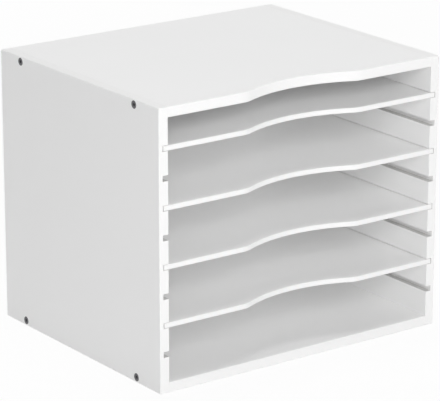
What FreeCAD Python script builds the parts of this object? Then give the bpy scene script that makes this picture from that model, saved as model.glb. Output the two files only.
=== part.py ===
import FreeCAD, Part
import math
import os

# Desk letter sorter: a box of lacquered board, open at the front and the back, whose two
# sides carry evenly spaced slots.  Four shelves slide in from the front, in every second slot.
# All sizes are in millimetres.  X runs across the front, -Y points to the user and Z up.
# The origin is the middle of the underside.

Vector = FreeCAD.Vector

# Carcass
width = 330.0
depth = 270.0
height = 275.0
panel_thickness = 10.0
panel_edge_radius = 1.0

# Finger recess in the front edge of the top panel and of every shelf
recess_depth = 15.5
recess_radius = 140.0
recess_blend_radius = 22.0

# Shelves, and the slots that they slide in
slot_count = 8
shelf_slots = (1, 3, 5, 7)  # slots that hold a shelf, counted from the top
slot_depth = 6.0
slot_stop = 9.0  # board left standing behind the rounded end of a slot
shelf_thickness = 5.0
shelf_edge_radius = 0.8
shelf_top_clearance = 0.4
shelf_seat_clearance = 0.1
shelf_end_clearance = 1.0
shelf_back_clearance = 0.25  # from the shelf to where the slot's end begins to round

# Socket screws that pull each side onto the top and bottom panels
screw_front_distance = 40.0
screw_back_distance = 36.0
screw_length = 40.0
screw_head_diameter = 8.0
screw_head_sink = 0.2
screw_neck_diameter = 4.6
screw_thread_diameter = 5.0
screw_core_diameter = 3.6
screw_thread_pitch = 2.5
screw_crest_width = 0.3
screw_flank_angle = 30.0
screw_tip_length = 3.0
screw_socket_flats = 3.0
screw_socket_depth = 2.2
screw_hole_clearance = 0.2
screw_tip_clearance = 1.0

# Wooden dowel half-way between the two screws of each joint
dowel_diameter = 6.0
dowel_length = 24.0
dowel_side_depth = 7.0
dowel_end_clearance = 0.5
dowel_chamfer = 0.8
dowel_flute_count = 12
dowel_flute_depth = 0.3

# Places worked out from the sizes above
front_y = -depth / 2
back_y = depth / 2
inner_half_width = width / 2 - panel_thickness
inner_height = height - 2 * panel_thickness
slot_pitch = inner_height / (slot_count + 1)
slot_height = shelf_seat_clearance + shelf_thickness + shelf_top_clearance
slot_end_y = back_y - slot_stop
slot_straight_end_y = slot_end_y - slot_height / 2
joint_heights = {"top": height - panel_thickness / 2, "bottom": panel_thickness / 2}
screw_places = {"front": front_y + screw_front_distance, "back": back_y - screw_back_distance}
dowel_y = sum(screw_places.values()) / 2
side_signs = {"left": -1, "right": 1}


def block(low, high):
    """A box between two opposite corners."""
    return Part.makeBox(high[0] - low[0], high[1] - low[1], high[2] - low[2], Vector(*low))


def prism(points, thickness):
    """A closed outline of edges in the plane of its points, raised by a thickness."""
    return Part.Face(Part.Wire(points)).extrude(Vector(0, 0, thickness))


def turned(profile):
    """A solid turned about the X axis from (distance along the axis, radius) points."""
    points = [Vector(x, 0, radius) for x, radius in profile]
    face = Part.Face(Part.makePolygon(points + points[:1]))
    return face.revolve(Vector(0, 0, 0), Vector(1, 0, 0), 360)


def rounded(solid, radius, wall, keep_sharp):
    """Rounds every edge that keep_sharp doesn't pick, by no more than its wall allows."""
    edges = [edge for edge in solid.Edges if not keep_sharp(edge)]
    return solid.makeFillet(min(radius, 0.45 * wall), edges)


def lies_on_x(edge, x):
    """Whether an edge lies in the plane at this X."""
    box = edge.BoundBox
    return abs(box.XMin - x) < 1e-6 and abs(box.XMax - x) < 1e-6


def slot_bottom(number):
    """Height of the lower face of a slot, numbered from the top."""
    return height - panel_thickness - number * slot_pitch - slot_height / 2


def front_recess_edges(z):
    """The curved middle of a front edge: a shallow arc, blended into the straight edge."""
    hub = Vector(0, front_y + recess_depth - recess_radius, z)
    reach = recess_radius + recess_blend_radius
    rise = front_y + recess_blend_radius - hub.y
    run = math.sqrt(reach**2 - rise**2)
    edges = []
    starts = {}
    for sign in (1, -1):
        centre = Vector(sign * run, front_y + recess_blend_radius, z)
        on_line = Vector(sign * run, front_y, z)
        on_arc = hub + (centre - hub) * (recess_radius / reach)
        bisector = (on_line + on_arc) / 2 - centre
        middle = centre + bisector.normalize() * recess_blend_radius
        edges.append(Part.Arc(on_line, middle, on_arc).toShape())
        starts[sign] = (on_line, on_arc)
    deepest = Vector(0, front_y + recess_depth, z)
    edges.insert(1, Part.Arc(starts[1][1], deepest, starts[-1][1]).toShape())
    return edges, starts[1][0], starts[-1][0]


def recessed_board(half_width, rear_y, z, thickness, edge_radius):
    """A board with the finger recess in its front edge and its long edges rounded."""
    curved, right_end, left_end = front_recess_edges(z)
    right_front = Vector(half_width, front_y, z)
    left_front = Vector(-half_width, front_y, z)
    right_rear = Vector(half_width, rear_y, z)
    left_rear = Vector(-half_width, rear_y, z)
    edges = [Part.makeLine(right_front, right_end)]
    edges += curved
    edges += [
        Part.makeLine(left_end, left_front),
        Part.makeLine(left_front, left_rear),
        Part.makeLine(left_rear, right_rear),
        Part.makeLine(right_rear, right_front),
    ]
    board = prism(edges, thickness)
    return rounded_long_edges(board, half_width, edge_radius, thickness)


def rounded_long_edges(board, half_width, radius, thickness):
    """Rounds the front and back edges of a board, and leaves its ends square."""

    def keep_sharp(edge):
        upright = edge.BoundBox.ZLength > 1e-6
        return upright or lies_on_x(edge, half_width) or lies_on_x(edge, -half_width)

    return rounded(board, radius, thickness, keep_sharp)


def slot_space(number):
    """The space of one slot, across both sides, from the front edge to its rounded end."""
    reach = inner_half_width + slot_depth
    low = slot_bottom(number)
    high = low + slot_height
    front_low, front_high = Vector(-reach, front_y, low), Vector(-reach, front_y, high)
    rear_low = Vector(-reach, slot_straight_end_y, low)
    rear_high = Vector(-reach, slot_straight_end_y, high)
    rear_middle = Vector(-reach, slot_end_y, (low + high) / 2)
    outline = Part.Wire([
        Part.makeLine(front_low, rear_low),
        Part.Arc(rear_low, rear_middle, rear_high).toShape(),
        Part.makeLine(rear_high, front_high),
        Part.makeLine(front_high, front_low),
    ])
    return Part.Face(outline).extrude(Vector(2 * reach, 0, 0))


def screw():
    """A socket screw along +X with its head's flat face at the origin."""
    head = screw_head_diameter / 2
    neck = screw_neck_diameter / 2
    core = screw_core_diameter / 2
    crest = screw_thread_diameter / 2
    neck_end = panel_thickness - screw_head_sink
    thread_end = screw_length - screw_tip_length
    flank = (crest - core) * math.tan(math.radians(screw_flank_angle))
    ridge_count = int((thread_end - neck_end) / screw_thread_pitch)
    profile = [(0, 0), (0, head), (head - neck, neck), (neck_end, neck), (neck_end, core)]
    for ridge in range(ridge_count):
        start = neck_end + (ridge + 0.5) * screw_thread_pitch
        profile += [
            (start, core),
            (start + flank, crest),
            (start + flank + screw_crest_width, crest),
            (start + 2 * flank + screw_crest_width, core),
        ]
    profile += [(thread_end, core), (screw_length, 0)]
    corner = screw_socket_flats / math.sqrt(3)
    corners = []
    for index in range(7):
        angle = math.radians(60 * index)
        corners.append(Vector(0, corner * math.cos(angle), corner * math.sin(angle)))
    socket = Part.Face(Part.makePolygon(corners)).extrude(Vector(screw_socket_depth, 0, 0))
    return turned(profile).cut(socket)


def screw_hole():
    """The countersunk hole and thread bore for one screw, along +X from the outer face."""
    head = screw_head_diameter / 2 + screw_head_sink
    hole = (screw_thread_diameter + screw_hole_clearance) / 2
    bore = screw_thread_diameter / 2
    end = screw_head_sink + screw_length + screw_tip_clearance
    profile = [
        (0, 0),
        (0, head),
        (head - hole, hole),
        (panel_thickness, hole),
        (panel_thickness, bore),
        (end, bore),
        (end, 0),
    ]
    return turned(profile)


def dowel():
    """A fluted dowel along +X that starts at the origin."""
    radius = dowel_diameter / 2
    chamfered = radius - dowel_chamfer
    pin = turned([
        (0, 0),
        (0, chamfered),
        (dowel_chamfer, radius),
        (dowel_length - dowel_chamfer, radius),
        (dowel_length, chamfered),
        (dowel_length, 0),
    ])
    half = dowel_flute_depth
    flute = prism_along_x([(-half, radius), (0, radius - half), (half, radius), (0, radius + half)])
    flutes = []
    for index in range(dowel_flute_count):
        copy = flute.copy()
        copy.rotate(Vector(0, 0, 0), Vector(1, 0, 0), 360 * index / dowel_flute_count)
        flutes.append(copy)
    return pin.cut(Part.makeCompound(flutes))


def prism_along_x(outline):
    """A bar of the dowel's length from (across, out) points of its section."""
    points = [Vector(0, across, out) for across, out in outline]
    return Part.Face(Part.makePolygon(points + points[:1])).extrude(Vector(dowel_length, 0, 0))


def dowel_hole():
    """The blind hole for one dowel, across the joint, with room at both ends."""
    length = dowel_length + 2 * dowel_end_clearance
    return Part.makeCylinder(dowel_diameter / 2, length, Vector(0, 0, 0), Vector(1, 0, 0))


def placed(shape, side, x_from_outside, y, z):
    """A copy of a shape drawn along +X, set inwards from the outer face of a side."""
    copy = shape.copy()
    if side_signs[side] > 0:
        copy.rotate(Vector(0, 0, 0), Vector(0, 0, 1), 180)
    copy.translate(Vector(side_signs[side] * (width / 2 - x_from_outside), y, z))
    return copy


def each_joint():
    """Every corner joint of the box, as (side, level, height of its middle)."""
    for side in side_signs:
        for level, z in joint_heights.items():
            yield side, level, z


def joint_holes():
    """All screw and dowel holes, cut alike from the pieces that meet at a joint."""
    dowel_start = panel_thickness - dowel_side_depth - dowel_end_clearance
    holes = []
    for side, _, z in each_joint():
        for y in screw_places.values():
            holes.append(placed(screw_hole(), side, 0, y, z))
        holes.append(placed(dowel_hole(), side, dowel_start, dowel_y, z))
    return holes


def side_panel(side, cuts):
    """A side: a board the full height of the box, slotted on its inner face."""
    inner_x = side_signs[side] * inner_half_width
    outer_x = side_signs[side] * width / 2
    low_x, high_x = sorted((inner_x, outer_x))
    board = block((low_x, front_y, 0), (high_x, back_y, height))
    board = rounded(board, panel_edge_radius, panel_thickness, lambda edge: lies_on_x(edge, inner_x))
    slots = [slot_space(number) for number in range(1, slot_count + 1)]
    return board.cut(slots + cuts)


def top_panel(cuts):
    """The top, between the sides, with the finger recess."""
    z = height - panel_thickness
    board = recessed_board(inner_half_width, back_y, z, panel_thickness, panel_edge_radius)
    return board.cut(cuts)


def bottom_panel(cuts):
    """The bottom, between the sides, with a straight front edge."""
    low = (-inner_half_width, front_y, 0)
    board = block(low, (inner_half_width, back_y, panel_thickness))
    board = rounded_long_edges(board, inner_half_width, panel_edge_radius, panel_thickness)
    return board.cut(cuts)


def shelf(number):
    """A loose shelf that lies in one pair of slots, flush with the front of the sides."""
    half = inner_half_width + slot_depth - shelf_end_clearance
    rear = slot_straight_end_y - shelf_back_clearance
    z = slot_bottom(number) + shelf_seat_clearance
    return recessed_board(half, rear, z, shelf_thickness, shelf_edge_radius)


def build():
    """Every piece of the sorter by name."""
    cuts = joint_holes()
    pieces = {
        "left_side_panel": side_panel("left", cuts),
        "right_side_panel": side_panel("right", cuts),
        "top_panel": top_panel(cuts),
        "bottom_panel": bottom_panel(cuts),
    }
    for index, number in enumerate(shelf_slots, start=1):
        pieces[f"shelf_{index}"] = shelf(number)
    for side, level, z in each_joint():
        for end, y in screw_places.items():
            pieces[f"{side}_{level}_{end}_screw"] = placed(screw(), side, screw_head_sink, y, z)
        start = panel_thickness - dowel_side_depth
        pieces[f"{side}_{level}_dowel"] = placed(dowel(), side, start, dowel_y, z)
    return pieces


def main():
    os.makedirs("parts", exist_ok=True)
    for name, shape in build().items():
        shape.exportStep(f"parts/{name}.step")
        solids = [solid.Volume for solid in shape.Solids]
        print(f"{name}: {len(solids)} solid, {sum(solids) / 1000:.2f} cm3, valid {shape.isValid()}")


main()
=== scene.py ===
import math

import bmesh
import bpy
from bpy.props import FloatProperty, FloatVectorProperty, IntProperty, PointerProperty
from bpy.types import Operator, Panel, PropertyGroup
from mathutils import Matrix, Vector


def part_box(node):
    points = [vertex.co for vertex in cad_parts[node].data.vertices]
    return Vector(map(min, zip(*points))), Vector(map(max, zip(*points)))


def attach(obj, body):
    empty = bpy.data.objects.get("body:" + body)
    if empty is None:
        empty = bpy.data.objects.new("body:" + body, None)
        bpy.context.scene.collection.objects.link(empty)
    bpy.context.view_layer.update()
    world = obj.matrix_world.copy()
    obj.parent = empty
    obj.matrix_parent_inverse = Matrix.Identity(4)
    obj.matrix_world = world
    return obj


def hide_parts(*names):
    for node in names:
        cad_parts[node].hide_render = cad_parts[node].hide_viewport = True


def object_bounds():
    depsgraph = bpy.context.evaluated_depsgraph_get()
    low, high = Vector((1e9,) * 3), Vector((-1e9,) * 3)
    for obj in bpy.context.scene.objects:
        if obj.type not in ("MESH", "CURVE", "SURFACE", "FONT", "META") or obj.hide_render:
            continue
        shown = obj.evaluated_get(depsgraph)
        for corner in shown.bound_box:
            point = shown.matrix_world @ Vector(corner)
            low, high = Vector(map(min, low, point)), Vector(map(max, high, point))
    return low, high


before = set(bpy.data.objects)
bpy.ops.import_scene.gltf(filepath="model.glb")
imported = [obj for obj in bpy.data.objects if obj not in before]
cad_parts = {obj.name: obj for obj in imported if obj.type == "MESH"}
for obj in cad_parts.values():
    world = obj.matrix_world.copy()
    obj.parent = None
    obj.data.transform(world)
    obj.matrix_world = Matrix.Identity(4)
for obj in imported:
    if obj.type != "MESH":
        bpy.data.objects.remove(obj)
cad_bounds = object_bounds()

bl_info = {
    "name": "Desk letter sorter",
    "version": (1, 0, 0),
    "blender": (4, 5, 0),
    "location": "3D View > Sidebar > Sorter",
    "description": "Dresses the packed letter sorter with lacquered boards, shelves and fasteners",
    "category": "Object",
}

# Lengths are in metres.  X runs across the front, -Y points out of the open front and Z up.
MM = 0.001
SIDES = {"left": -1, "right": 1}
LEVELS = ("top", "bottom")
ENDS = ("front", "back")
SHELVES = sorted(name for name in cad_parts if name.startswith("shelf_"))

# How finely curves are divided
ARC_STEP = math.radians(1.5)
SLOT_ARC_STEP = math.radians(9)
ROUNDING_STEPS = 5
SOFTENING_STEPS = 2
HOLE_SEGMENTS = 48
SCREW_SEGMENTS = 36
DOWEL_SEGMENTS = 120
THREAD_STATIONS = 12
# An edge that turns by more than this is a crease left by a cutter
CREASE_ANGLE = math.radians(60)
SHARP_ANGLE = math.radians(50)
# Cutters reach this far past the face that they break through
BREAKTHROUGH = 1 * MM
# Places closer than this are the same
NEAR = 0.01 * MM

# Lacquer: sizes of its marks, and how much each one thins or dulls it
LACQUER_IOR = 1.48
CLOUD_SIZE = 60 * MM
CLOUD_THINNING = 0.06
CLOUD_DULLING = 0.08
PEEL_SIZE = 1.6 * MM
PEEL_HEIGHT = 0.012 * MM
PEEL_DULLING = 0.05
FIBRE_SIZE = 0.5 * MM
SAWN_THINNING = 0.03
SAWN_PEEL_LOSS = 0.5
# A face counts as cut where this share of its normal, or more, lies along a cut axis
CUT_FACING = (0.6, 0.8)
WORN_PATCH_SIZE = 9 * MM
WORN_PATCHES = (0.42, 0.68)
# Wear is full nearer to an edge than the first distance and gone past the second
WORN_RIM = (0.3 * MM, 1.6 * MM)

# Routed slots: marks of the cutter, and painted shade on the slot floors
STREAK_SIZE = 0.7 * MM
STREAK_STRETCH = (1.0, 0.03, 1.0)
STREAK_HEIGHT = 0.02 * MM
STREAK_THINNING = 0.25
STREAK_DULLING = 0.15
ROUTED_CLOUD_SIZE = 25 * MM
ROUTED_CLOUD_THINNING = 0.15
ROUTED_THINNING = 0.1
FLOOR_FACING = (0.5, 0.8)
# Painted shade on up-facing slot floors: at least this share, up to full along the streaks
SLOT_FLOOR_SHADE_SHARE = 0.5

# Screws: turning marks and specks in their black finish
STEEL_METALLIC = 0.9
STEEL_DARKEST, STEEL_LIGHTEST = 0.85, 1.2
TURNING_MARK_SIZE = 0.22 * MM
TURNING_MARK_SHARE = 0.25
SPECK_SIZE = 0.35 * MM
SPECK_SHARE = 0.4
SPECK_DULLING = 0.2
STEEL_CLOUD_SIZE = 2.5 * MM
STEEL_TONES = (0.3, 0.7)
STEEL_HEIGHT = 0.006 * MM

# Dowels: grain and flecks, both drawn out along X
GRAIN_SIZE = 0.9 * MM
GRAIN_STRETCH = (0.08, 1.0, 1.0)
GRAIN_TONES = (0.4, 0.75)
FLECK_SIZE = 0.35 * MM
FLECK_STRETCH = (0.25, 1.0, 1.0)
FLECK_TONES = (0.62, 0.72)
GRAIN_DARKENING = 0.6
FLECK_DARKENING = 0.4
FLECK_RELIEF = 0.5
WOOD_ROUGHNESS = 0.6
GRAIN_DULLING = 0.2
WOOD_HEIGHT = 0.04 * MM

# Stage
WHITE = (1.0, 1.0, 1.0, 1.0)
FLOOR_REACH = 6.0
FLOOR_DROP = 0.1 * MM
CLIP_END = 20.0


def length(name, default, description):
    """A length in metres with its place in the sidebar."""
    return FloatProperty(
        name=name, description=description, default=default, min=0.0, unit="LENGTH", precision=5
    )


def angle(name, degrees, description):
    """An angle that is shown in degrees and kept in radians."""
    return FloatProperty(
        name=name, description=description, default=math.radians(degrees), unit="ROTATION"
    )


def share(name, default, description):
    """A number between 0 and 1."""
    return FloatProperty(name=name, description=description, default=default, min=0.0, max=1.0)


def colour(name, default, description):
    """A linear colour."""
    return FloatVectorProperty(
        name=name, description=description, default=default, size=3, min=0.0, max=1.0, subtype="COLOR"
    )


def brightness(name, default, description):
    """A lamp's brightness: 1 lights a white face that looks at it to full white."""
    return FloatProperty(name=name, description=description, default=default, min=0.0)


class BoardSizes(PropertyGroup):
    """Sizes of the boards that their outer boxes don't give."""

    edge_radius: length("Board edge radius", 1 * MM, "Rounding of the carcass boards' edges")
    shelf_edge_radius: length("Shelf edge radius", 0.8 * MM, "Rounding of the shelves' edges")
    joint_softening: length("Joint softening", 0.04 * MM, "Softening where two boards meet flush")
    cut_softening: length("Cut softening", 0.2 * MM, "Softening round slots, holes and board ends")
    recess_depth: length("Recess depth", 15.5 * MM, "How far the finger recess reaches in")
    recess_radius: length("Recess radius", 140 * MM, "Radius of the finger recess")
    recess_blend: length("Recess blend", 22 * MM, "Radius that leads the recess into the edge")
    slot_count: IntProperty(
        name="Slots", description="Slots in each side, from top to bottom", default=8, min=2
    )
    slots_per_shelf: IntProperty(
        name="Slots per shelf", description="Slots from one shelf to the next", default=2, min=1
    )
    slot_seat: length("Slot seat", 0.1 * MM, "Room under a shelf in its slot")
    slot_room: length("Slot room", 0.4 * MM, "Room above a shelf in its slot")
    slot_end: length("Slot end room", 1 * MM, "Room between a shelf's end and its slot")
    slot_stop: length("Slot stop", 9 * MM, "Board left standing behind a slot")


class FastenerSizes(PropertyGroup):
    """Sizes of the socket screws, and the room that screws and dowels have in their holes."""

    head_sink: length("Head sink", 0.2 * MM, "How deep the head sits under the side's face")
    rim_rounding: length("Rim rounding", 0.12 * MM, "Rounding of the head's rim")
    neck: length("Neck diameter", 4.6 * MM, "Diameter of the plain neck")
    thread: length("Thread diameter", 5 * MM, "Diameter over the thread")
    core: length("Core diameter", 3.6 * MM, "Diameter at the root of the thread")
    pitch: length("Thread pitch", 2.5 * MM, "Advance of the thread in one turn")
    crest: length("Thread crest", 0.3 * MM, "Width of the thread's crest")
    flank: angle("Thread flank", 30, "Slope of the thread's flanks")
    tip: length("Tip length", 3 * MM, "Length of the pointed tip")
    socket_flats: length("Socket flats", 3 * MM, "Width of the hexagon socket")
    socket_depth: length("Socket depth", 2.2 * MM, "Depth of the hexagon socket")
    socket_chamfer: length("Socket chamfer", 0.2 * MM, "Chamfer at the mouth of the socket")
    hole_room: length("Hole room", 0.2 * MM, "Room for the thread in a side's hole")
    tip_room: length("Tip room", 1 * MM, "Room past the tip in its bore")
    dowel_room: length("Dowel room", 0.5 * MM, "Room past each end of a dowel")
    dowel_chamfer: length("Dowel chamfer", 0.8 * MM, "Chamfer at the dowel's ends")
    flute_count: IntProperty(
        name="Flutes", description="Flutes round each dowel", default=12, min=3
    )
    flute_depth: length("Flute depth", 0.3 * MM, "Depth of the dowel's flutes")


class Finishes(PropertyGroup):
    """Colours and surface qualities."""

    lacquer: colour("Lacquer", (0.935, 0.935, 0.934), "White lacquer on the boards")
    lacquer_roughness: share("Lacquer roughness", 0.42, "Roughness of the sprayed faces")
    cut_roughness: share("Cut roughness", 0.55, "Roughness of sawn edges and routed slots")
    fibre: colour("Fibre", (0.85, 0.843, 0.83), "Board showing faintly through thin lacquer")
    # Painted shade: this grey is mixed into the up-facing floors of the routed slots
    worn_and_shaded: colour("Rubbed slot", (0.6, 0.595, 0.585), "Slot floors dulled by sliding shelves")
    wear: share("Edge wear", 0.35, "How much fibre shows at the rubbed edges")
    steel: colour("Steel", (0.19, 0.19, 0.195), "Blackened steel of the screws")
    steel_roughness: share("Steel roughness", 0.38, "Roughness of the screws")
    beech: colour("Beech", (0.62, 0.43, 0.25), "Light wood of the dowels")
    beech_grain: colour("Beech grain", (0.42, 0.26, 0.13), "Darker grain of the dowels")


class StageSettings(PropertyGroup):
    """Camera, floor and lights."""

    azimuth: angle("Azimuth", -36.02, "Camera's turn round the sorter, from the front")
    elevation: angle("Elevation", 17.33, "Camera's height above the horizon")
    distance: length("Distance", 2.689, "From the aim point to the camera")
    aim_right: FloatProperty(
        name="Aim right", description="Aim point, to the right", default=0.001, unit="LENGTH"
    )
    aim_up: length("Aim up", 0.1188, "Aim point, upwards in the picture")
    lens: FloatProperty(
        name="Lens", description="Focal length", default=219.9, unit="CAMERA", min=1.0
    )
    floor: colour("Floor", (0.92, 0.92, 0.92), "Pale floor")
    floor_glow: share("Floor glow", 0.93, "How much of the floor's look is the plain white ground")
    surround: share("Surround", 0.28, "Brightness of the light from all round")
    key_azimuth: angle("Key azimuth", -25, "Front lamp's turn round the sorter, from the front")
    key_elevation: angle("Key elevation", 20, "Front lamp's height above the horizon")
    key_brightness: brightness("Key brightness", 0.55, "Brightness of the front lamp")
    rear_azimuth: angle("Rear azimuth", 180, "Rear lamp's turn round the sorter, from the front")
    rear_elevation: angle("Rear elevation", 8, "Rear lamp's height above the horizon")
    rear_brightness: brightness("Rear brightness", 0.46, "Brightness of the lamp behind")
    fill_azimuth: angle("Fill azimuth", 95, "Right lamp's turn round the sorter, from the front")
    fill_elevation: angle("Fill elevation", 20, "Right lamp's height above the horizon")
    fill_brightness: brightness("Fill brightness", 0.2, "Brightness of the lamp on the right")
    overhead_brightness: brightness("Overhead brightness", 0.29, "Brightness of the lamp above")
    lamp_size: length("Lamp size", 1.6, "Width of the square lamps, but for the one behind")
    rear_size: length("Rear lamp size", 0.6, "Width of the square lamp behind")
    lamp_distance: length("Lamp distance", 3.2, "From the sorter to each lamp")


class Value:
    """One output of a node.  Arithmetic on it adds Math nodes to its tree."""

    def __init__(self, graph, socket):
        self.graph = graph
        self.socket = socket

    def _math(self, operation, first, second=0.0):
        return self.graph.node(
            "ShaderNodeMath", {"operation": operation}, {"Value": first, "Value_001": second}
        )

    def __add__(self, other):
        return self._math("ADD", self, other)

    __radd__ = __add__

    def __sub__(self, other):
        return self._math("SUBTRACT", self, other)

    def __rsub__(self, other):
        return self._math("SUBTRACT", other, self)

    def __mul__(self, other):
        return self._math("MULTIPLY", self, other)

    __rmul__ = __mul__

    def __pow__(self, other):
        return self._math("POWER", self, other)

    def __abs__(self):
        return self._math("ABSOLUTE", self)

    def at_least(self, other):
        return self._math("MAXIMUM", self, other)

    def at_most(self, other):
        return self._math("MINIMUM", self, other)


class Graph:
    """The node tree of a material or world, cleared and ready to be filled."""

    def __init__(self, owner):
        owner.use_nodes = True
        self.tree = owner.node_tree
        self.tree.nodes.clear()

    def node(self, kind, settings=None, sockets=None, output=0):
        """Adds a node: its settings first, then its sockets, by identifier.  Returns an output."""
        made = self.tree.nodes.new(kind)
        for name, value in (settings or {}).items():
            setattr(made, name, value)
        by_identifier = {socket.identifier: socket for socket in made.inputs}
        for name, value in (sockets or {}).items():
            if isinstance(value, Value):
                self.tree.links.new(value.socket, by_identifier[name])
            else:
                by_identifier[name].default_value = value
        if not made.outputs:
            return None
        return Value(self, made.outputs[output])

    def object_point(self):
        """The shaded point in its piece's own coordinates."""
        return self.node("ShaderNodeTexCoord", output="Object")

    def axes(self, vector):
        """The three parts of a vector."""
        x = self.node("ShaderNodeSeparateXYZ", sockets={"Vector": vector})
        return [Value(self, socket) for socket in x.socket.node.outputs]

    def stretched(self, vector, factors):
        """A vector with each part multiplied by its own factor."""
        return self.node(
            "ShaderNodeVectorMath",
            {"operation": "MULTIPLY"},
            {"Vector": vector, "Vector_001": factors},
        )

    def noise(self, vector, size, detail=2.0, roughness=0.5):
        """Noise whose features are about this large, in metres."""
        return self.node(
            "ShaderNodeTexNoise",
            {"noise_dimensions": "3D"},
            {"Vector": vector, "Scale": 1 / size, "Detail": detail, "Roughness": roughness},
        )

    def between(self, value, low, high):
        """0 below one value, 1 above the other, and smooth from one to the other."""
        return self.node(
            "ShaderNodeMapRange",
            {"interpolation_type": "SMOOTHSTEP"},
            {"Value": value, "From Min": low, "From Max": high},
        )

    def mixed_colour(self, factor, first, second):
        """One colour faded into another."""
        return self.node(
            "ShaderNodeMix",
            {"data_type": "RGBA"},
            {"Factor_Float": factor, "A_Color": first, "B_Color": second},
            output=2,
        )

    def bump(self, height, distance):
        """A normal tilted by a height between 0 and 1, whose full height is this distance."""
        return self.node("ShaderNodeBump", sockets={"Height": height, "Distance": distance})

    def surface(self, shader):
        """Gives the material its finished shader."""
        self.node("ShaderNodeOutputMaterial", sockets={"Surface": shader})


def opaque(rgb, scale=1.0):
    """A colour with full alpha, brightened or darkened by a factor."""
    return tuple(channel * scale for channel in rgb) + (1.0,)


def sizes():
    """The boards' sizes, as set in the sidebar."""
    return bpy.context.scene.sorter_boards


def fastener_sizes():
    """The screws' and dowels' sizes, as set in the sidebar."""
    return bpy.context.scene.sorter_fasteners


def finishes():
    """The colours and surface qualities, as set in the sidebar."""
    return bpy.context.scene.sorter_finishes


def node_span(node):
    """Length of a CAD node along each axis."""
    low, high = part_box(node)
    return high - low


# Materials


def named_material(name, build):
    """A material by name, built the first time that it is asked for."""
    found = bpy.data.materials.get(name)
    if found:
        return found
    made = bpy.data.materials.new(name)
    build(Graph(made))
    return made


def rim_of_side(graph, point):
    """Distance from the nearest outer edge of a side board."""
    low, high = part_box("right_side_panel")
    x, y, z = graph.axes(point)
    from_x = (abs(x) - low.x).at_most(high.x - abs(x))
    from_y = high.y - abs(y)
    from_z = z.at_most(high.z - z)
    smaller = from_x.at_most(from_y)
    larger = from_x.at_least(from_y)
    return smaller.at_least(larger.at_most(from_z))


def rim_of_level(graph, point, low, high, recessed):
    """Distance from the nearest long edge of a level board."""
    x, y, z = graph.axes(point)
    front = low.y
    if recessed:
        hub = low.y + sizes().recess_depth - sizes().recess_radius
        front = ((sizes().recess_radius ** 2 - x * x).at_least(0.0) ** 0.5 + hub).at_least(low.y)
    from_y = (y - front).at_most(high.y - y)
    from_z = (z - low.z).at_most(high.z - z)
    return from_y.at_least(from_z)


def lacquered_board(graph, cut_axes, rim=None):
    """White lacquer, smooth on the board's faces and duller on its sawn edges.

    cut_axes has 1 for each axis that a sawn edge faces.  rim is the distance from the nearest
    rubbed edge.
    """
    finish = finishes()
    point = graph.object_point()
    cloud = graph.noise(point, CLOUD_SIZE, detail=3.0)
    peel = graph.noise(point, PEEL_SIZE, detail=1.0)
    fibres = graph.noise(point, FIBRE_SIZE, roughness=0.6)
    normal = graph.node("ShaderNodeTexCoord", output="Normal")
    facing = graph.node(
        "ShaderNodeVectorMath",
        {"operation": "LENGTH"},
        {"Vector": graph.stretched(normal, cut_axes)},
        output="Value",
    )
    sawn = graph.between(facing, *CUT_FACING)
    thin = sawn * SAWN_THINNING + cloud * CLOUD_THINNING
    if rim is not None:
        patches = graph.noise(point, WORN_PATCH_SIZE, detail=3.0, roughness=0.6)
        worn_and_shaded = (1 - graph.between(rim, *WORN_RIM)) * graph.between(patches, *WORN_PATCHES)
        thin = thin + worn_and_shaded * finish.wear
    base = graph.mixed_colour(thin.at_most(1.0), opaque(finish.lacquer), opaque(finish.fibre))
    dull = finish.cut_roughness - finish.lacquer_roughness
    roughness = finish.lacquer_roughness + sawn * dull
    roughness += (cloud - 0.5) * CLOUD_DULLING + (peel - 0.5) * PEEL_DULLING
    height = peel * (1 - sawn * SAWN_PEEL_LOSS) + fibres * sawn
    shader = graph.node(
        "ShaderNodeBsdfPrincipled",
        sockets={
            "Base Color": base,
            "Roughness": roughness,
            "IOR": LACQUER_IOR,
            "Normal": graph.bump(height, PEEL_HEIGHT),
        },
    )
    graph.surface(shader)


def routed_lacquer(graph):
    """Thin lacquer in a routed slot, with marks of the cutter, and painted shade that greys its
    up-facing floors.
    """
    finish = finishes()
    point = graph.object_point()
    streaks = graph.noise(graph.stretched(point, STREAK_STRETCH), STREAK_SIZE)
    cloud = graph.noise(point, ROUTED_CLOUD_SIZE)
    thin = ROUTED_THINNING + streaks * STREAK_THINNING + cloud * ROUTED_CLOUD_THINNING
    sprayed = graph.mixed_colour(thin, opaque(finish.lacquer), opaque(finish.fibre))
    normal = graph.node("ShaderNodeTexCoord", output="Normal")
    # Painted shade: up-facing slot floors are greyed, patchy along the cutter's streaks
    level = graph.between(graph.axes(normal)[2], *FLOOR_FACING)
    worn_and_shaded = level * (SLOT_FLOOR_SHADE_SHARE + (1 - SLOT_FLOOR_SHADE_SHARE) * streaks)
    shader = graph.node(
        "ShaderNodeBsdfPrincipled",
        sockets={
            "Base Color": graph.mixed_colour(worn_and_shaded, sprayed, opaque(finish.worn_and_shaded)),
            "Roughness": finish.cut_roughness + (streaks - 0.5) * STREAK_DULLING,
            "IOR": LACQUER_IOR,
            "Normal": graph.bump(streaks, STREAK_HEIGHT),
        },
    )
    graph.surface(shader)


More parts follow.
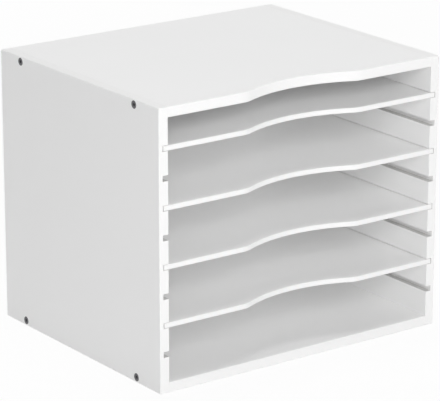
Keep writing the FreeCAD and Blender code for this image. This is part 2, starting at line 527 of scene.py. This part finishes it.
def blackened_steel(graph):
    """Dark satin steel with faint turning marks round the screw's axis."""
    finish = finishes()
    point = graph.object_point()
    _, y, z = graph.axes(point)
    radius = (y * y + z * z) ** 0.5
    turns = radius * (2 * math.pi / TURNING_MARK_SIZE)
    marks = graph.node("ShaderNodeMath", {"operation": "SINE"}, {"Value": turns})
    specks = graph.noise(point, SPECK_SIZE, detail=3.0, roughness=0.6)
    cloud = graph.noise(point, STEEL_CLOUD_SIZE)
    tone = graph.between(cloud * (1 - SPECK_SHARE) + specks * SPECK_SHARE, *STEEL_TONES)
    darkest, lightest = opaque(finish.steel, STEEL_DARKEST), opaque(finish.steel, STEEL_LIGHTEST)
    shader = graph.node(
        "ShaderNodeBsdfPrincipled",
        sockets={
            "Base Color": graph.mixed_colour(tone, darkest, lightest),
            "Metallic": STEEL_METALLIC,
            "Roughness": finish.steel_roughness + (specks - 0.5) * SPECK_DULLING,
            "Normal": graph.bump(marks * TURNING_MARK_SHARE + specks, STEEL_HEIGHT),
        },
    )
    graph.surface(shader)


def beech_wood(graph):
    """Pale beech with its grain and short flecks along X."""
    finish = finishes()
    point = graph.object_point()
    grain = graph.noise(
        graph.stretched(point, GRAIN_STRETCH), GRAIN_SIZE, detail=4.0, roughness=0.6
    )
    flecks = graph.noise(graph.stretched(point, FLECK_STRETCH), FLECK_SIZE, detail=1.0)
    dark = graph.between(grain, *GRAIN_TONES) * GRAIN_DARKENING
    dark += graph.between(flecks, *FLECK_TONES) * FLECK_DARKENING
    shader = graph.node(
        "ShaderNodeBsdfPrincipled",
        sockets={
            "Base Color": graph.mixed_colour(dark, opaque(finish.beech), opaque(finish.beech_grain)),
            "Roughness": WOOD_ROUGHNESS + grain * GRAIN_DULLING,
            "Normal": graph.bump(grain + flecks * FLECK_RELIEF, WOOD_HEIGHT),
        },
    )
    graph.surface(shader)


def routed_material():
    """The finish that every cutter leaves behind."""
    return named_material("routed_lacquer", routed_lacquer)


# Meshes


def mesh_object(name, bm, *materials):
    """A mesh object from a bmesh, which is freed."""
    bmesh.ops.recalc_face_normals(bm, faces=bm.faces)
    mesh = bpy.data.meshes.new(name)
    bm.to_mesh(mesh)
    bm.free()
    for material in materials:
        mesh.materials.append(material)
    made = bpy.data.objects.new(name, mesh)
    bpy.context.scene.collection.objects.link(made)
    return made


def arc(centre, radius, start, end, step=ARC_STEP):
    """Points on an arc, both ends included."""
    count = max(2, math.ceil(abs(end - start) / step))
    points = []
    for index in range(count + 1):
        at = start + (end - start) * index / count
        points.append((centre[0] + radius * math.cos(at), centre[1] + radius * math.sin(at)))
    return points


def recessed_outline(low, high):
    """A board with the finger recess in its front edge, from above, counter-clockwise."""
    board = sizes()
    radius, blend = board.recess_radius, board.recess_blend
    hub = (0.0, low.y + board.recess_depth - radius)
    blend_y = low.y + blend
    run = math.sqrt((radius + blend) ** 2 - (blend_y - hub[1]) ** 2)
    turn = math.atan2(run, blend_y - hub[1])
    down, up = -math.pi / 2, math.pi / 2
    points = [(low.x, low.y)]
    points += arc((-run, blend_y), blend, down, down + turn)
    points += arc(hub, radius, up + turn, up - turn)[1:-1]
    points += arc((run, blend_y), blend, down - turn, down)
    points += [(high.x, low.y), (high.x, high.y), (low.x, high.y)]
    return points


def lofted(bm, rings):
    """A closed solid through rings of equally many points, capped at both ends."""
    rings = [[bm.verts.new(point) for point in ring] for ring in rings]
    bm.faces.new(rings[0][::-1])
    bm.faces.new(rings[-1])
    for near, far in zip(rings, rings[1:]):
        for index in range(len(near)):
            after = (index + 1) % len(near)
            bm.faces.new((near[index], near[after], far[after], far[index]))


def inward(outline):
    """For each point of an outline, how it moves when the long edges move in by one.

    A board's four corners slide along its ends, so the ends stay where they are.
    """
    board_corners = {0: 1, len(outline) - 3: 1, len(outline) - 2: -1, len(outline) - 1: -1}
    moves = []
    for index, point in enumerate(outline):
        if index in board_corners:
            moves.append(Vector((0, board_corners[index])))
            continue
        before = (Vector(point) - Vector(outline[index - 1])).normalized()
        after = (Vector(outline[index + 1]) - Vector(point)).normalized()
        along = (before + after).normalized()
        moves.append(Vector((-along.y, along.x)) / along.dot(after))
    return moves


def rounded_prism(bm, outline, bottom, top, radius):
    """Raises an outline between two heights and rounds its long edges."""
    moves = inward(outline)
    levels = []
    for step in range(ROUNDING_STEPS + 1):
        at = math.pi / 2 * step / ROUNDING_STEPS
        levels.append((bottom + radius * (1 - math.cos(at)), radius * (1 - math.sin(at))))
    levels += [(top + bottom - z, inset) for z, inset in reversed(levels)]
    rings = []
    for z, inset in levels:
        moved = [Vector(point) + move * inset for point, move in zip(outline, moves)]
        rings.append([(x, y, z) for x, y in moved])
    lofted(bm, rings)


def box_outline(low, high):
    """A plain board from above, counter-clockwise."""
    return [(low.x, low.y), (high.x, low.y), (high.x, high.y), (low.x, high.y)]


def block(bm, low, high):
    """A box between two opposite corners."""
    outline = box_outline(Vector(low), Vector(high))
    lofted(bm, [[(x, y, z) for x, y in outline] for z in (low[2], high[2])])


def round_edges(bm, radius, chosen):
    """Rounds the edges that chosen picks."""
    edges = [edge for edge in bm.edges if chosen(edge)]
    bmesh.ops.bevel(
        bm,
        geom=edges,
        offset=radius,
        offset_type="OFFSET",
        segments=ROUNDING_STEPS,
        profile=0.5,
        affect="EDGES",
    )


def lies_at(edge, axis, place):
    """Whether both ends of an edge have this coordinate."""
    return all(abs(vert.co[axis] - place) < NEAR for vert in edge.verts)


def revolved(bm, profile, segments, place=Matrix.Identity(4)):
    """A closed solid round the X axis.

    The profile's stations are (x, radius), from the first pole to the last.  A radius is a
    number or a function of the angle.
    """
    rings = []
    for x, radius in profile[1:-1]:
        ring = []
        for index in range(segments):
            at = 2 * math.pi * index / segments
            out = radius(at) if callable(radius) else radius
            ring.append(bm.verts.new(place @ Vector((x, out * math.cos(at), out * math.sin(at)))))
        rings.append(ring)
    first, last = [bm.verts.new(place @ Vector((x, 0, 0))) for x, _ in (profile[0], profile[-1])]
    for index in range(segments):
        after = (index + 1) % segments
        bm.faces.new((first, rings[0][after], rings[0][index]))
        bm.faces.new((last, rings[-1][index], rings[-1][after]))
        for near, far in zip(rings, rings[1:]):
            bm.faces.new((near[index], near[after], far[after], far[index]))


def inwards(side, y, z):
    """Places what is drawn along +X so that it points into the box from a side's face."""
    low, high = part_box(f"{side}_side_panel")
    outer = low.x if SIDES[side] < 0 else high.x
    turned = Matrix.Rotation(math.pi if SIDES[side] > 0 else 0.0, 4, "Z")
    return Matrix.Translation((outer, y, z)) @ turned


def middle(node):
    """Centre of a CAD node's box."""
    low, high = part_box(node)
    return (low + high) / 2


def board_thickness():
    """Thickness of the carcass boards."""
    return node_span("left_side_panel").x


def each_screw():
    """Every screw, as (side, level, node)."""
    for side in SIDES:
        for level in LEVELS:
            for end in ENDS:
                yield side, level, f"{side}_{level}_{end}_screw"


def hole_cutter(sides, levels, across_joint):
    """Cuts the screw and dowel holes in a side, or across_joint, the bores in a level board."""
    fastener = fastener_sizes()
    thickness = board_thickness()
    bm = bmesh.new()
    for side, level, node in each_screw():
        if side not in sides or level not in levels:
            continue
        place = inwards(side, middle(node).y, middle(node).z)
        span = node_span(node)
        if across_joint:
            radius = fastener.thread / 2
            end = fastener.head_sink + span.x + fastener.tip_room
            start = thickness - BREAKTHROUGH
            profile = [(start, 0), (start, radius), (end, radius), (end, 0)]
        else:
            mouth = span.y / 2 + fastener.head_sink
            radius = (fastener.thread + fastener.hole_room) / 2
            end = thickness + BREAKTHROUGH
            profile = [(-BREAKTHROUGH, 0), (-BREAKTHROUGH, mouth + BREAKTHROUGH)]
            profile += [(mouth - radius, radius), (end, radius), (end, 0)]
        revolved(bm, profile, HOLE_SEGMENTS, place)
    for side in sides:
        for level in levels:
            node = f"{side}_{level}_dowel"
            place = inwards(side, middle(node).y, middle(node).z)
            span = node_span(node)
            reach = abs(middle(node).x - place.translation.x)
            start = reach - span.x / 2 - fastener.dowel_room
            end = reach + span.x / 2 + fastener.dowel_room
            if across_joint:
                start = thickness - BREAKTHROUGH
            else:
                end = thickness + BREAKTHROUGH
            radius = span.z / 2
            profile = [(start, 0), (start, radius), (end, radius), (end, 0)]
            revolved(bm, profile, HOLE_SEGMENTS, place)
    return mesh_object("hole_cutter", bm, routed_material())


def slot_cutter():
    """Cuts every slot across both sides, from the front to its rounded end."""
    board = sizes()
    low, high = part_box(SHELVES[0])
    lowest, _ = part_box(SHELVES[-1])
    pitch = (low.z - lowest.z) / (len(SHELVES) - 1) / board.slots_per_shelf
    reach = high.x + board.slot_end
    _, side_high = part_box("right_side_panel")
    bm = bmesh.new()
    for number in range(board.slot_count):
        bottom = low.z - board.slot_seat - number * pitch
        top = high.z + board.slot_room - number * pitch
        radius = (top - bottom) / 2
        centre = (side_high.y - board.slot_stop - radius, bottom + radius)
        outline = [(low.y - BREAKTHROUGH, bottom)]
        outline += arc(centre, radius, -math.pi / 2, math.pi / 2, SLOT_ARC_STEP)
        outline += [(low.y - BREAKTHROUGH, top)]
        lofted(bm, [[(x, y, z) for y, z in outline] for x in (-reach, reach)])
    return mesh_object("slot_cutter", bm, routed_material())


def cut(piece, cutters):
    """Takes the cutters out of a piece, which gets their material where they cut it."""
    for cutter in cutters:
        modifier = piece.modifiers.new("cut", "BOOLEAN")
        modifier.operation = "DIFFERENCE"
        modifier.solver = "EXACT"
        modifier.material_mode = "TRANSFER"
        modifier.object = cutter
    depsgraph = bpy.context.evaluated_depsgraph_get()
    result = bpy.data.meshes.new_from_object(piece.evaluated_get(depsgraph), depsgraph=depsgraph)
    if not result.polygons:
        raise RuntimeError(f"cutting {piece.name} left nothing")
    piece.modifiers.clear()
    piece.data = result
    for cutter in cutters:
        bpy.data.meshes.remove(cutter.data)


def soften(piece, joints=()):
    """Takes the sharpness off the creases of a piece, and least where boards meet flush.

    joints holds the X places of the planes in which it meets other boards.
    """
    board = sizes()
    bm = bmesh.new()
    bm.from_mesh(piece.data)
    weight = bm.edges.layers.float.new("bevel_weight_edge")
    for edge in bm.edges:
        if edge.calc_face_angle(0.0) > CREASE_ANGLE:
            flush = any(lies_at(edge, 0, place) for place in joints)
            edge[weight] = board.joint_softening / board.cut_softening if flush else 1.0
    bm.to_mesh(piece.data)
    bm.free()
    bevel = piece.modifiers.new("soften", "BEVEL")
    bevel.limit_method = "WEIGHT"
    bevel.width = board.cut_softening
    bevel.segments = SOFTENING_STEPS
    bevel.use_clamp_overlap = False
    bevel.loop_slide = False
    smooth(piece)


def smooth(piece):
    """Shades a piece smoothly, with its flat faces kept flat."""
    piece.data.shade_smooth()
    piece.data.set_sharp_from_angle(angle=SHARP_ANGLE)
    weighted = piece.modifiers.new("flat faces", "WEIGHTED_NORMAL")
    weighted.keep_sharp = True


def fit(piece, body, node):
    """Lets a finished piece stand for its CAD node."""
    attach(piece, body)
    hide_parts(node)


def side_board(side):
    """A side: rounded outside, with slots and holes on its inner face."""
    node = f"{side}_side_panel"
    low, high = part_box(node)
    inner = high.x if SIDES[side] < 0 else low.x
    bm = bmesh.new()
    block(bm, low, high)
    round_edges(bm, sizes().edge_radius, lambda edge: not lies_at(edge, 0, inner))
    finish = named_material(
        "lacquered_side",
        lambda graph: lacquered_board(graph, (0, 1, 1), rim_of_side(graph, graph.object_point())),
    )
    piece = mesh_object(f"{side}_side_board", bm, finish)
    cut(piece, [slot_cutter(), hole_cutter([side], LEVELS, False)])
    soften(piece)
    fit(piece, "carcass", node)


def level_board(name, low, high, radius, recessed):
    """A level board, recessed or straight at the front, with its long edges rounded."""
    outline = recessed_outline(low, high) if recessed else box_outline(low, high)
    bm = bmesh.new()
    rounded_prism(bm, outline, low.z, high.z, radius)

    def finish(graph):
        rim = rim_of_level(graph, graph.object_point(), low, high, recessed)
        lacquered_board(graph, (1, 1, 0), rim)

    return mesh_object(name, bm, named_material(f"lacquered_{name}", finish))


def carcass_level(level, recessed):
    """The top or the bottom board, between the sides."""
    node = f"{level}_panel"
    low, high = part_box(node)
    piece = level_board(f"{level}_board", low, high, sizes().edge_radius, recessed)
    cut(piece, [hole_cutter(SIDES, [level], True)])
    soften(piece, joints=(low.x, high.x))
    fit(piece, "carcass", node)


def shelves():
    """One shelf, drawn at the origin's height, and a copy of it in each shelf's place."""
    low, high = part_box(SHELVES[0])
    rise = Vector((0, 0, low.z))
    first = level_board("shelf", low - rise, high - rise, sizes().shelf_edge_radius, True)
    soften(first)
    for node in SHELVES:
        piece = first.copy()
        piece.name = f"{node}_board"
        piece.location.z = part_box(node)[0].z
        bpy.context.scene.collection.objects.link(piece)
        fit(piece, node, node)
    bpy.data.objects.remove(first)


def screw_profile(span, thickness):
    """Stations of a socket screw, from the floor of its socket to its tip."""
    fastener = fastener_sizes()
    flats = fastener.socket_flats / 2
    corner = fastener.socket_flats / math.sqrt(3)
    head, neck, core = span.y / 2, fastener.neck / 2, fastener.core / 2
    crest = fastener.thread / 2 - core
    rim = fastener.rim_rounding
    chamfer = fastener.socket_chamfer
    neck_end = thickness - fastener.head_sink
    thread_end = span.x - fastener.tip
    flank = crest * math.tan(fastener.flank)

    def hexagon(at):
        sixth = math.pi / 3
        return flats / math.cos((at + sixth / 2) % sixth - sixth / 2)

    def thread(x):
        run_out = min(1.0, (x - neck_end) / fastener.pitch, (thread_end - x) / fastener.pitch)

        def radius(at):
            turns = x / fastener.pitch - at / (2 * math.pi)
            off = abs(turns - round(turns)) * fastener.pitch
            ridge = (fastener.crest / 2 + flank - off) / flank
            return core + crest * max(0.0, min(1.0, ridge)) * run_out

        return radius

    profile = [(fastener.socket_depth + corner / 4, 0)]
    profile += [(fastener.socket_depth, hexagon), (chamfer, hexagon), (0, corner + chamfer / 2)]
    profile += [(0, head - 2 * rim), (rim / 3, head - rim), (rim, head - rim)]
    profile += [(head - neck, neck), (neck_end, neck), (neck_end, core)]
    count = round((thread_end - neck_end) / fastener.pitch * THREAD_STATIONS)
    for index in range(1, count):
        x = neck_end + (thread_end - neck_end) * index / count
        profile.append((x, thread(x)))
    profile += [(thread_end, core), (span.x, 0)]
    return profile


def screws():
    """One socket screw with its thread, and a copy of it in each screw's place."""
    side, _, node = next(each_screw())
    bm = bmesh.new()
    revolved(bm, screw_profile(node_span(node), board_thickness()), SCREW_SEGMENTS)
    first = mesh_object("screw", bm, named_material("blackened_steel", blackened_steel))
    smooth(first)
    sink = Matrix.Translation((fastener_sizes().head_sink, 0, 0))
    for side, _, node in each_screw():
        piece = first.copy()
        piece.name = f"{node}_turned"
        piece.matrix_world = inwards(side, middle(node).y, middle(node).z) @ sink
        bpy.context.scene.collection.objects.link(piece)
        fit(piece, "carcass", node)
    bpy.data.objects.remove(first)


def dowel_profile(span):
    """Stations of a fluted dowel with chamfered ends."""
    fastener = fastener_sizes()
    radius, chamfer = span.y / 2, fastener.dowel_chamfer

    def fluted(at):
        turns = at / (2 * math.pi) * fastener.flute_count
        off = abs(turns - round(turns)) / fastener.flute_count * 2 * math.pi * radius
        return radius - max(0.0, fastener.flute_depth - off)

    ends = radius - chamfer
    profile = [(0, 0), (0, ends), (chamfer, fluted), (span.x - chamfer, fluted)]
    return profile + [(span.x, ends), (span.x, 0)]


def dowels():
    """One fluted dowel, and a copy of it in each dowel's place."""
    bm = bmesh.new()
    revolved(bm, dowel_profile(node_span("left_top_dowel")), DOWEL_SEGMENTS)
    first = mesh_object("dowel", bm, named_material("beech_wood", beech_wood))
    smooth(first)
    for side in SIDES:
        for level in LEVELS:
            node = f"{side}_{level}_dowel"
            place = inwards(side, middle(node).y, middle(node).z)
            start = abs(middle(node).x - place.translation.x) - node_span(node).x / 2
            piece = first.copy()
            piece.name = f"{node}_fluted"
            piece.matrix_world = place @ Matrix.Translation((start, 0, 0))
            bpy.context.scene.collection.objects.link(piece)
            fit(piece, "carcass", node)
    bpy.data.objects.remove(first)


# Stage


def seen_directly(graph):
    """1 for what the camera sees, also in a mirror or through glass."""
    rays = ("Is Camera Ray", "Is Glossy Ray", "Is Transmission Ray")
    straight, mirrored, through = [
        graph.node("ShaderNodeLightPath", output=ray) for ray in rays
    ]
    return straight.at_least(mirrored).at_least(through)


def floor_finish(graph):
    """A pale floor that looks white but keeps a faint shadow."""
    stage = bpy.context.scene.sorter_stage
    matt = graph.node("ShaderNodeBsdfDiffuse", sockets={"Color": opaque(stage.floor)})
    white = graph.node("ShaderNodeEmission", sockets={"Color": WHITE, "Strength": 1.0})
    mixed = graph.node(
        "ShaderNodeMixShader",
        sockets={
            "Fac": seen_directly(graph) * stage.floor_glow,
            "Shader": matt,
            "Shader_001": white,
        },
    )
    graph.surface(mixed)


def surround(world):
    """Even light from all round, seen as plain white."""
    graph = Graph(world)
    stage = bpy.context.scene.sorter_stage
    light = graph.node("ShaderNodeBackground", sockets={"Strength": stage.surround})
    white = graph.node("ShaderNodeBackground", sockets={"Strength": 1.0})
    for background in (light, white):
        background.socket.node.inputs["Color"].default_value = WHITE
    mixed = graph.node(
        "ShaderNodeMixShader",
        sockets={"Fac": seen_directly(graph), "Shader": light, "Shader_001": white},
    )
    graph.node("ShaderNodeOutputWorld", sockets={"Surface": mixed})


def towards(azimuth, elevation):
    """Direction from the sorter towards a camera or lamp."""
    level = Vector((math.sin(azimuth), -math.cos(azimuth), 0)) * math.cos(elevation)
    return level + Vector((0, 0, math.sin(elevation)))


def looking(name, data, aim, back, distance):
    """An object that looks at a point from this far back."""
    made = bpy.data.objects.new(name, data)
    made.location = aim + back * distance
    made.rotation_euler = (-back).to_track_quat("-Z", "Y").to_euler()
    bpy.context.scene.collection.objects.link(made)
    return made


def camera():
    """The scene's camera."""
    stage = bpy.context.scene.sorter_stage
    back = towards(stage.azimuth, stage.elevation)
    right = Vector((math.cos(stage.azimuth), math.sin(stage.azimuth), 0))
    aim = right * stage.aim_right + back.cross(right) * stage.aim_up
    data = bpy.data.cameras.new("camera")
    data.lens = stage.lens
    data.clip_end = CLIP_END
    bpy.context.scene.camera = looking("camera", data, aim, back, stage.distance)


def lamp(name, azimuth, elevation, level, size):
    """A soft square lamp that looks at the middle of the sorter."""
    stage = bpy.context.scene.sorter_stage
    low, high = cad_bounds
    data = bpy.data.lights.new(name, "AREA")
    data.shape = "SQUARE"
    data.size = size
    data.energy = level * (math.pi * stage.lamp_distance) ** 2
    aim = (Vector(low) + Vector(high)) / 2
    made = looking(name, data, aim, towards(azimuth, elevation), stage.lamp_distance)
    # Gloss shows only the even white all round, so no board seen at a slant burns out.
    made.visible_glossy = False


class SorterOperator:
    """What every step of the build has in common."""

    bl_options = {"REGISTER", "UNDO"}


class SORTER_OT_side_boards(SorterOperator, Operator):
    """Build both slotted sides"""

    bl_idname = "sorter.side_boards"
    bl_label = "Side boards"

    def execute(self, context):
        for side in SIDES:
            side_board(side)
        return {"FINISHED"}


class SORTER_OT_top_board(SorterOperator, Operator):
    """Build the top with its finger recess"""

    bl_idname = "sorter.top_board"
    bl_label = "Top board"

    def execute(self, context):
        carcass_level("top", recessed=True)
        return {"FINISHED"}


class SORTER_OT_bottom_board(SorterOperator, Operator):
    """Build the straight bottom"""

    bl_idname = "sorter.bottom_board"
    bl_label = "Bottom board"

    def execute(self, context):
        carcass_level("bottom", recessed=False)
        return {"FINISHED"}


class SORTER_OT_shelves(SorterOperator, Operator):
    """Build the loose shelves"""

    bl_idname = "sorter.shelves"
    bl_label = "Shelves"

    def execute(self, context):
        shelves()
        return {"FINISHED"}


class SORTER_OT_screws(SorterOperator, Operator):
    """Build the socket screws"""

    bl_idname = "sorter.screws"
    bl_label = "Screws"

    def execute(self, context):
        screws()
        return {"FINISHED"}


class SORTER_OT_dowels(SorterOperator, Operator):
    """Build the fluted dowels"""

    bl_idname = "sorter.dowels"
    bl_label = "Dowels"

    def execute(self, context):
        dowels()
        return {"FINISHED"}


class SORTER_OT_stage(SorterOperator, Operator):
    """Set up the floor, the light and the camera"""

    bl_idname = "sorter.stage"
    bl_label = "Stage"

    def execute(self, context):
        scene = context.scene
        stage = scene.sorter_stage
        scene.view_settings.view_transform = "Standard"
        scene.world = bpy.data.worlds.new("surround")
        surround(scene.world)
        reach = Vector((FLOOR_REACH, FLOOR_REACH))
        bm = bmesh.new()
        bm.faces.new([bm.verts.new((x, y, -FLOOR_DROP)) for x, y in box_outline(-reach, reach)])
        floor = mesh_object("floor", bm, named_material("floor", floor_finish))
        lamp("key", stage.key_azimuth, stage.key_elevation, stage.key_brightness, stage.lamp_size)
        lamp("overhead", 0, math.pi / 2, stage.overhead_brightness, stage.lamp_size)
        fill = (stage.fill_azimuth, stage.fill_elevation, stage.fill_brightness, stage.lamp_size)
        lamp("fill", *fill)
        rear = (stage.rear_azimuth, stage.rear_elevation, stage.rear_brightness, stage.rear_size)
        lamp("rear", *rear)
        camera()
        return {"FINISHED"}


OPERATORS = (
    SORTER_OT_side_boards,
    SORTER_OT_top_board,
    SORTER_OT_bottom_board,
    SORTER_OT_shelves,
    SORTER_OT_screws,
    SORTER_OT_dowels,
    SORTER_OT_stage,
)


class SORTER_PT_build(Panel):
    """Steps of the build and their settings."""

    bl_idname = "SORTER_PT_build"
    bl_label = "Letter sorter"
    bl_space_type = "VIEW_3D"
    bl_region_type = "UI"
    bl_category = "Sorter"

    def draw(self, context):
        column = self.layout.column()
        for operator in OPERATORS:
            column.operator(operator.bl_idname)
        for name in GROUPS:
            box = self.layout.box()
            settings = getattr(context.scene, name)
            for key in settings.bl_rna.properties.keys():
                if key not in ("rna_type", "name"):
                    box.prop(settings, key)


GROUPS = {
    "sorter_boards": BoardSizes,
    "sorter_fasteners": FastenerSizes,
    "sorter_finishes": Finishes,
    "sorter_stage": StageSettings,
}


def register():
    """Adds the settings, the steps and their panel."""
    for name, group in GROUPS.items():
        bpy.utils.register_class(group)
        setattr(bpy.types.Scene, name, PointerProperty(type=group))
    for operator in OPERATORS:
        bpy.utils.register_class(operator)
    bpy.utils.register_class(SORTER_PT_build)


def unregister():
    """Takes away what register added."""
    bpy.utils.unregister_class(SORTER_PT_build)
    for operator in reversed(OPERATORS):
        bpy.utils.unregister_class(operator)
    for name, group in GROUPS.items():
        delattr(bpy.types.Scene, name)
        bpy.utils.unregister_class(group)


def main():
    """Builds the sorter step by step."""
    register()
    for operator in OPERATORS:
        group, name = operator.bl_idname.split(".")
        getattr(getattr(bpy.ops, group), name)()


if __name__ == "__main__":
    main()
